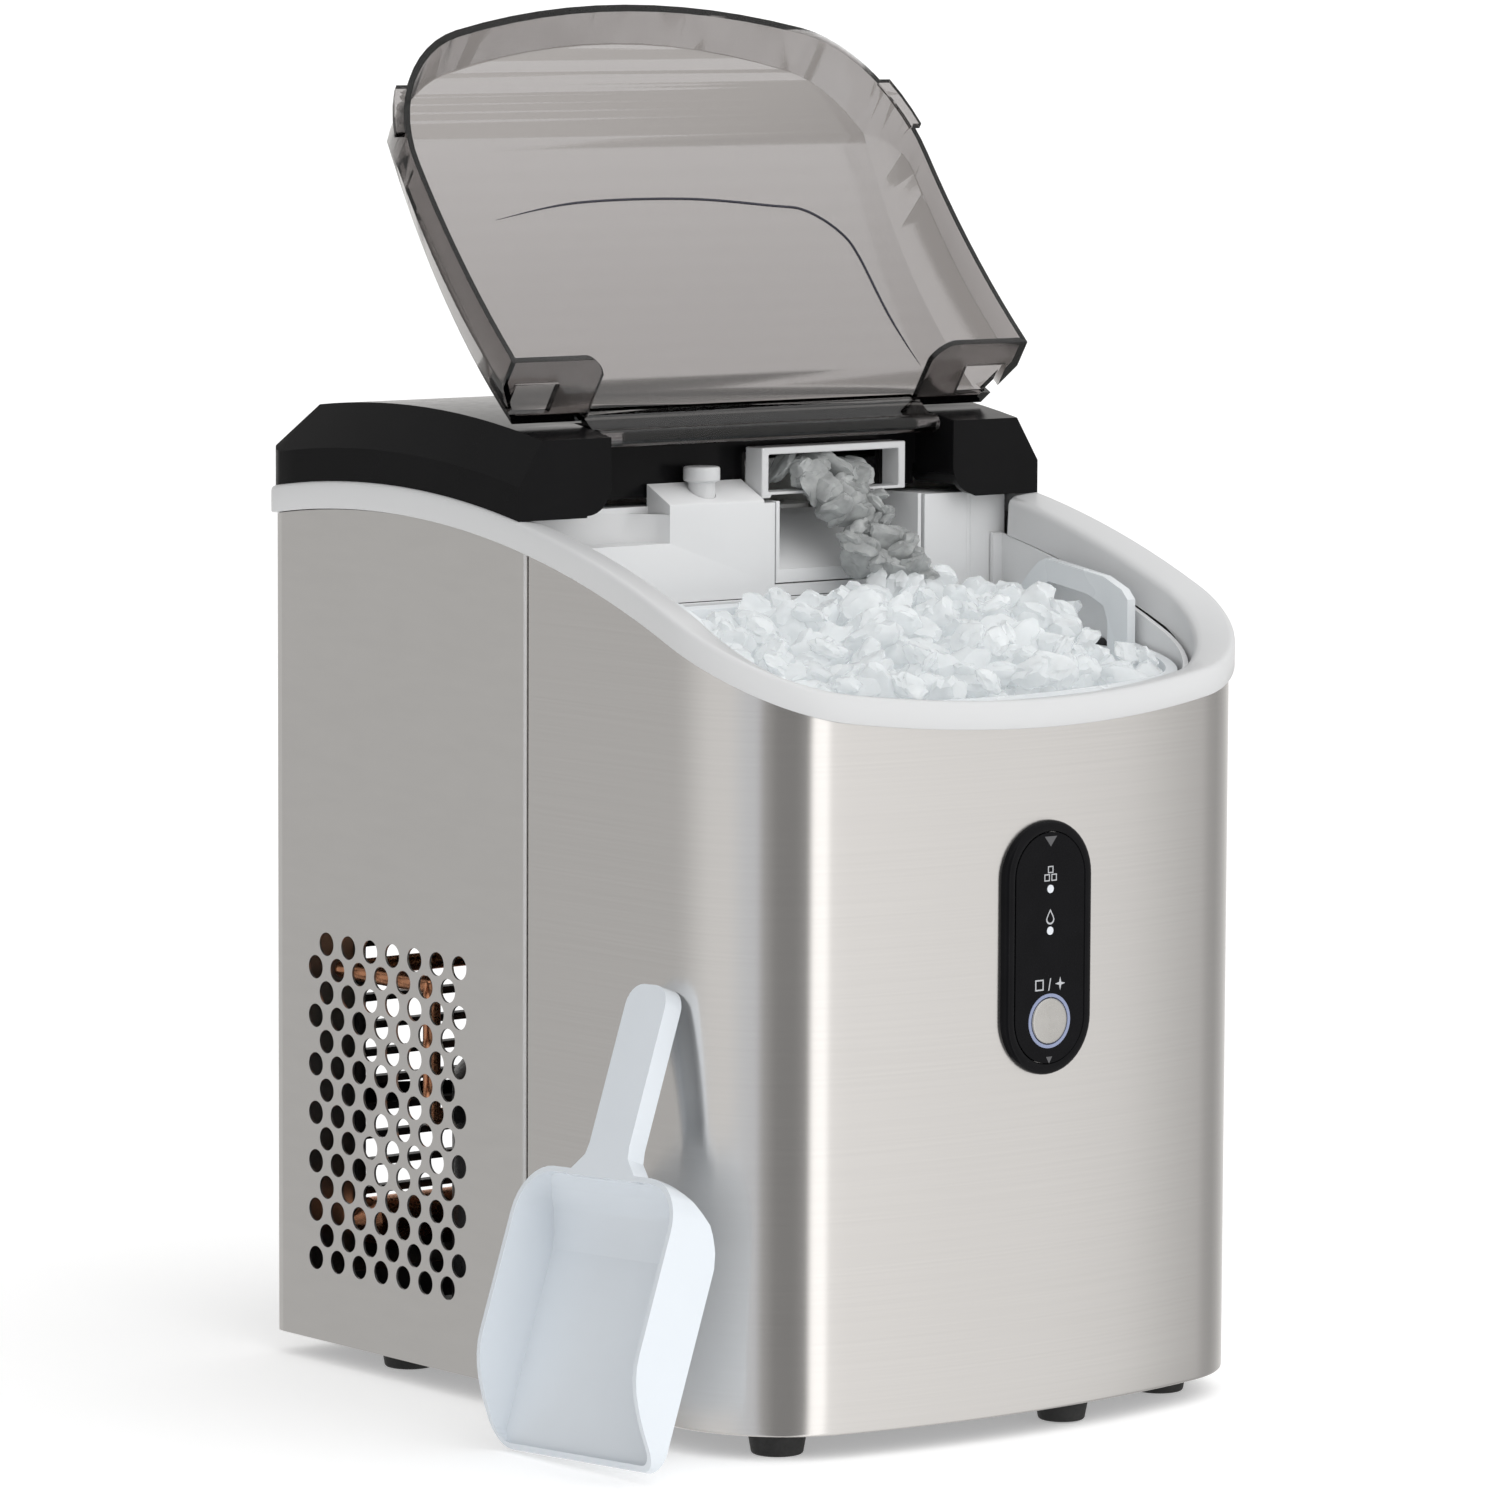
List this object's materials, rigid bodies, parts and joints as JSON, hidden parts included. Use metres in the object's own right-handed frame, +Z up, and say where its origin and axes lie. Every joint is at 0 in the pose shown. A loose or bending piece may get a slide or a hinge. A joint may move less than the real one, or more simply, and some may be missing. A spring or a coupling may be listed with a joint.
{
  "type": "countertop nugget ice maker",
  "caption": "Countertop nugget ice maker with bowed steel cabinet, open smoked lid, ice bin, side vents, front control panel and a loose scoop.",
  "frame": {"origin": "centre of the whole box on the plane that the feet stand on", "axes": "+Z up, -Y out of the front with the control panel, +X to the right as seen from the front"},
  "size_m": [0.2753, 0.2796, 0.4611],
  "materials": {
    "steel": "brushed along the width, satin",
    "side_metal": "satin silver coating",
    "pan_metal": "matt black",
    "foot_rubber": "matt",
    "rim_plastic": "semi-gloss white",
    "cover_plastic": "high gloss black",
    "grille_plastic": "matt black",
    "liner_plastic": "semi-gloss white",
    "bezel_plastic": "gloss black",
    "panel_film": "gloss black film",
    "lens": "clear, lit",
    "button_metal": "spun, satin",
    "circuit": "solder mask",
    "pin_steel": "bright",
    "smoke_clear": "smoke-tinted clear, polished",
    "basket_clear": "frosted clear",
    "foam": "rigid foam",
    "motor_black": "black enamel",
    "copper": "drawn copper",
    "fin_alu": "plain",
    "dark_plastic": "moulded",
    "white_plastic": "moulded",
    "stainless": "machined",
    "jacket_foam": "closed-cell",
    "float_plastic": "moulded",
    "hose_clear": "translucent silicone",
    "scoop_plastic": "translucent white"
  },
  "bodies": {
    "cabinet": {"front_wrap": "steel", "rear_shell": "side_metal", "base_pan": "pan_metal", "feet": "foot_rubber", "top_rim": "rim_plastic", "rear_cover": "cover_plastic", "rear_grille": "grille_plastic", "bin_liner": "liner_plastic", "bin_back": "liner_plastic", "chute_frame": "rim_plastic", "ice_chute": "liner_plastic", "vent_cap": "rim_plastic", "ice_sensor": "dark_plastic", "panel_bezel": "bezel_plastic", "panel_face": "panel_film", "led_lenses": "lens", "button_ring": "lens", "control_board": "circuit", "hinge_pins": "pin_steel", "liner_foam": "foam", "compressor": "motor_black", "compressor_mounts": "foot_rubber", "compressor_relay": "white_plastic", "condenser": "copper", "condenser_fins": "fin_alu", "fan_shroud": "dark_plastic", "fan_motor": "motor_black", "discharge_line": "copper", "suction_line": "copper", "filter_drier": "copper", "evaporator_barrel": "stainless", "evaporator_coil": "copper", "evaporator_jacket": "jacket_foam", "extruder_head": "white_plastic", "gearbox_case": "motor_black", "gear_motor": "motor_black", "evaporator_stand": "fin_alu", "water_tank": "hose_clear", "tank_lid": "white_plastic", "water_pump": "dark_plastic", "float_stem": "white_plastic", "water_hose": "hose_clear", "drain_spout": "dark_plastic", "drain_hose": "hose_clear", "power_inlet": "dark_plastic", "main_board": "circuit", "board_case": "white_plastic", "panel_screws": "pin_steel", "shell_screws": "pin_steel"},
    "lid": {"lid": "smoke_clear"},
    "button": {"button": "button_metal"},
    "ice_basket": {"ice_basket": "basket_clear"},
    "scoop": {"scoop": "scoop_plastic"},
    "fan": {"fan_blade": "dark_plastic"},
    "auger_unit": {"auger": "stainless", "drive_gear": "stainless"},
    "pinion": {"motor_pinion": "stainless"},
    "impeller": {"pump_impeller": "white_plastic"},
    "float": {"level_float": "float_plastic"},
    "drain_plug": {"drain_cap": "foot_rubber"}
  },
  "joints": [
    {"name": "lid_hinge", "type": "hinge", "parent": "cabinet", "child": "lid", "pos_m": [0.0238, 0.0055, 0.3196], "axis": [1, 0, 0], "range_deg": [0, 147.8]},
    {"name": "button_press", "type": "slide", "parent": "cabinet", "child": "button", "axis": [0, 1, 0], "range_m": [0, 0.0009], "stiffness_N_per_m": 600, "springref_m": -0.0005},
    {"name": "basket_lift", "type": "slide", "parent": "cabinet", "child": "ice_basket", "axis": [0, 0, 1], "range_m": [0, 0.02]},
    {"name": "scoop_away", "type": "slide", "parent": "cabinet", "child": "scoop", "axis": [-1, 0, 0], "range_m": [0, 0.12]},
    {"name": "fan_spin", "type": "hinge", "parent": "cabinet", "child": "fan", "pos_m": [0.0498, 0.1041, 0.084], "axis": [0, 1, 0], "continuous": true},
    {"name": "auger_spin", "type": "hinge", "parent": "cabinet", "child": "auger_unit", "pos_m": [0.0518, 0.0561, 0.135], "axis": [0, 0, 1], "continuous": true},
    {"name": "pinion_spin", "type": "hinge", "parent": "cabinet", "child": "pinion", "pos_m": [0.08195, 0.0561, 0.135], "axis": [0, 0, 1], "continuous": true},
    {"name": "pump_spin", "type": "hinge", "parent": "cabinet", "child": "impeller", "pos_m": [0.0638, -0.0539, 0.035], "axis": [0, 0, 1], "continuous": true},
    {"name": "float_rise", "type": "slide", "parent": "cabinet", "child": "float", "axis": [0, 0, 1], "range_m": [0, 0.03]},
    {"name": "drain_plug_turn", "type": "hinge", "parent": "cabinet", "child": "drain_plug", "pos_m": [0.0468, -0.1209, 0.004], "axis": [0, 0, 1], "continuous": true}
  ],
  "couplings": [
    {"joint": "pinion_spin", "follows": "auger_spin", "ratio": -4}
  ]
}
